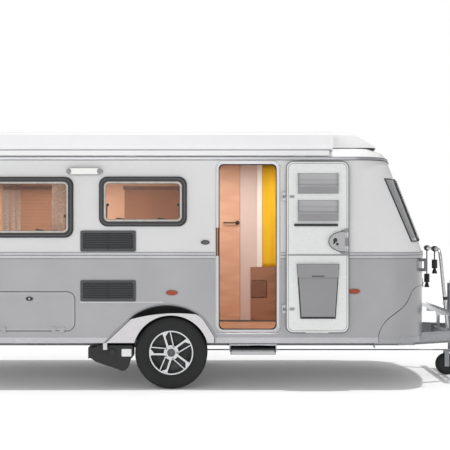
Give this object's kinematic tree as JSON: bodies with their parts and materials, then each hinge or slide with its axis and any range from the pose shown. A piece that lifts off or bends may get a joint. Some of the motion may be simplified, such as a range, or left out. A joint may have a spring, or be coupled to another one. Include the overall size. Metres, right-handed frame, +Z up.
{
  "type": "travel caravan",
  "caption": "Compact touring caravan with a lifting roof lid, folding entrance door, side awning case, drawbar with jockey wheel and bicycle carrier.",
  "frame": {"origin": "bottom centre of the bounding box, on the ground", "axes": "+X forward along the drawbar, +Y to the side away from the door, +Z up"},
  "size_m": [5.9778, 2.206, 2.258],
  "materials": {
    "white_wall": "smooth white skin",
    "silver_wall": "metallic silver coat",
    "rails": "satin",
    "roof_white": "gloss moulding",
    "bellows_cloth": "coated cloth",
    "floor_wood": "floor board",
    "grey_box": "moulded",
    "fender_white": "gloss moulding",
    "rubber_black": "rubber",
    "pane_glass": "tinted acrylic",
    "vent_black": "matt black",
    "amber": "amber lens",
    "lamp_white": "lens",
    "awning_white": "powder coat",
    "door_white": "smooth",
    "door_grey": "moulded",
    "lock_grey": "moulded",
    "steel": "satin",
    "tyre_rubber": "tyre",
    "alloy": "bright cast",
    "galvanised": "galvanised",
    "black_steel": "black coat",
    "carrier_silver": "bright",
    "cabin_wood": "laminate",
    "cushion_cloth": "woven",
    "curtain_cloth": "woven",
    "red_lens": "lens",
    "handle_grey": "moulded"
  },
  "bodies": {
    "body": {"upper_wall_near": "white_wall", "upper_wall_far": "white_wall", "upper_wall_front": "white_wall", "upper_wall_rear": "white_wall", "lower_wall_near": "silver_wall", "lower_wall_far": "silver_wall", "lower_wall_front": "silver_wall", "lower_wall_rear": "silver_wall", "body_rails": "rails", "roof_shell": "roof_white", "roof_bellows": "bellows_cloth", "floor_panel": "floor_wood", "floor_boxes": "grey_box", "fenders": "fender_white", "window_rubbers": "rubber_black", "window_panes": "pane_glass", "wall_vents": "vent_black", "side_markers": "amber", "awning_lamp": "lamp_white", "awning_case": "awning_white", "door_frame": "door_white", "hinge_pins": "steel", "axle": "galvanised", "chassis_frame": "galvanised", "floor_brackets": "galvanised", "coupling_head": "black_steel", "overrun_unit": "black_steel", "jockey_tube": "galvanised", "bike_carrier": "carrier_silver", "bike_holders": "vent_black", "mover_units": "vent_black", "sleeping_benches": "cabin_wood", "kitchen_unit": "cabin_wood", "washroom_unit": "cabin_wood", "bench_cushions": "cushion_cloth", "curtains": "curtain_cloth", "tail_lamps": "red_lens", "grab_handles": "handle_grey"},
    "wheel_near": {"tyre_near": "tyre_rubber", "rim_near": "alloy"},
    "wheel_far": {"tyre_far": "tyre_rubber", "rim_far": "alloy"},
    "door": {"door_panel": "door_white", "door_liner": "door_grey", "door_lock": "lock_grey", "door_hinge_leaves": "steel"},
    "flap": {"service_flap": "silver_wall"},
    "locker_lid": {"gas_locker_lid": "silver_wall"},
    "lid": {"roof_lid": "roof_white"},
    "step": {"step_tread": "vent_black"},
    "steady_front_near": {"steady_leg_front_near": "galvanised"},
    "steady_front_far": {"steady_leg_front_far": "galvanised"},
    "steady_rear_near": {"steady_leg_rear_near": "galvanised"},
    "steady_rear_far": {"steady_leg_rear_far": "galvanised"},
    "jockey_slider": {"jockey_stem": "galvanised"},
    "jockey_swivel": {"jockey_fork": "galvanised"},
    "jockey_roller": {"jockey_tyre": "tyre_rubber", "jockey_hub": "grey_box"}
  },
  "joints": [
    {"name": "wheel_near_spin", "type": "hinge", "parent": "body", "child": "wheel_near", "pos_m": [-0.56, -0.9, 0.318], "axis": [0, 1, 0], "continuous": true},
    {"name": "wheel_far_spin", "type": "hinge", "parent": "body", "child": "wheel_far", "pos_m": [-0.56, 0.9, 0.318], "axis": [0, 1, 0], "continuous": true},
    {"name": "door_hinge", "type": "hinge", "parent": "body", "child": "door", "pos_m": [0.41, -1.065, 1.246], "axis": [0, 0, -1], "range_deg": [0, 180]},
    {"name": "flap_hinge", "type": "hinge", "parent": "body", "child": "flap", "pos_m": [-1.7935, -1.061, 0.508], "axis": [1, 0, 0], "range_deg": [0, 165]},
    {"name": "locker_lid_hinge", "type": "hinge", "parent": "body", "child": "locker_lid", "pos_m": [1.7518, 0, 0.901], "axis": [0, -1, 0], "range_deg": [0, 18]},
    {"name": "lid_lift", "type": "slide", "parent": "body", "child": "lid", "axis": [0, 0, 1], "range_m": [0, 0.28], "deforming": ["roof_bellows"]},
    {"name": "step_slide", "type": "slide", "parent": "body", "child": "step", "axis": [0, -1, 0], "range_m": [0, 0.22]},
    {"name": "steady_front_near_hinge", "type": "hinge", "parent": "body", "child": "steady_front_near", "pos_m": [1.58, -0.776, 0.385], "axis": [0, -1, 0], "range_deg": [0, 80]},
    {"name": "steady_front_far_hinge", "type": "hinge", "parent": "body", "child": "steady_front_far", "pos_m": [1.58, 0.776, 0.385], "axis": [0, -1, 0], "range_deg": [0, 80]},
    {"name": "steady_rear_near_hinge", "type": "hinge", "parent": "body", "child": "steady_rear_near", "pos_m": [-2.706, -0.776, 0.385], "axis": [0, 1, 0], "range_deg": [0, 80]},
    {"name": "steady_rear_far_hinge", "type": "hinge", "parent": "body", "child": "steady_rear_far", "pos_m": [-2.706, 0.776, 0.385], "axis": [0, 1, 0], "range_deg": [0, 80]},
    {"name": "jockey_slide", "type": "slide", "parent": "body", "child": "jockey_slider", "axis": [0, 0, 1], "range_m": [0, 0.13]},
    {"name": "jockey_turn", "type": "hinge", "parent": "jockey_slider", "child": "jockey_swivel", "pos_m": [2.08, 0, 0.26], "axis": [0, 0, 1], "continuous": true},
    {"name": "jockey_spin", "type": "hinge", "parent": "jockey_swivel", "child": "jockey_roller", "pos_m": [2.04, 0, 0.103], "axis": [0, 1, 0], "continuous": true}
  ]
}
